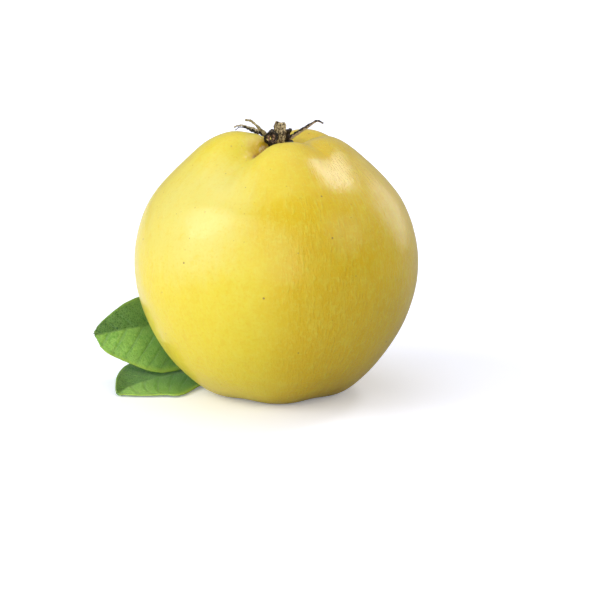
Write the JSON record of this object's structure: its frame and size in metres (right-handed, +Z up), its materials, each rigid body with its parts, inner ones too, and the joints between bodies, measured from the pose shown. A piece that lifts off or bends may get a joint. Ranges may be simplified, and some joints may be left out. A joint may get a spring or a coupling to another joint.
{
  "type": "quince",
  "caption": "Ripe yellow quince standing on its stem end, with lobed flesh, dry sepals round the eye on top and a short leafy shoot leaving from under it.",
  "frame": {"origin": "on the surface the quince stands on, under the middle of the whole part's box", "axes": "+Z up through the eye of the fruit, -Y to the front, -X to the side the leaves reach out on"},
  "size_m": [0.1036, 0.0896, 0.0875],
  "materials": {
    "quince_skin": "waxy yellow skin with a soft sheen",
    "dry_brown": "dry and matt",
    "dry_dark": "dry and matt",
    "bark": "smooth young bark",
    "leaf_green": "soft satin leaf"
  },
  "bodies": {
    "root": {"bud_lower": "bark", "bud_upper": "bark", "calyx_tube": "dry_dark", "fruit": "quince_skin", "leaf_lower": "leaf_green", "leaf_upper": "leaf_green", "sepal_left_high": "dry_brown", "sepal_left_low": "dry_brown", "sepal_right": "dry_brown", "sepal_rolled": "dry_brown", "sepal_upright": "dry_brown", "shoot": "bark", "stamen_01": "dry_dark", "stamen_02": "dry_dark", "stamen_03": "dry_dark", "stamen_04": "dry_dark", "stamen_05": "dry_dark", "stamen_06": "dry_dark", "stamen_07": "dry_dark", "stamen_08": "dry_dark", "stamen_09": "dry_dark", "stamen_10": "dry_dark", "stamen_11": "dry_dark", "stamen_12": "dry_dark", "stamen_13": "dry_dark", "stamen_14": "dry_dark", "style_01": "dry_dark", "style_02": "dry_dark", "style_03": "dry_dark", "style_04": "dry_dark", "style_05": "dry_dark"}
  },
  "joints": []
}
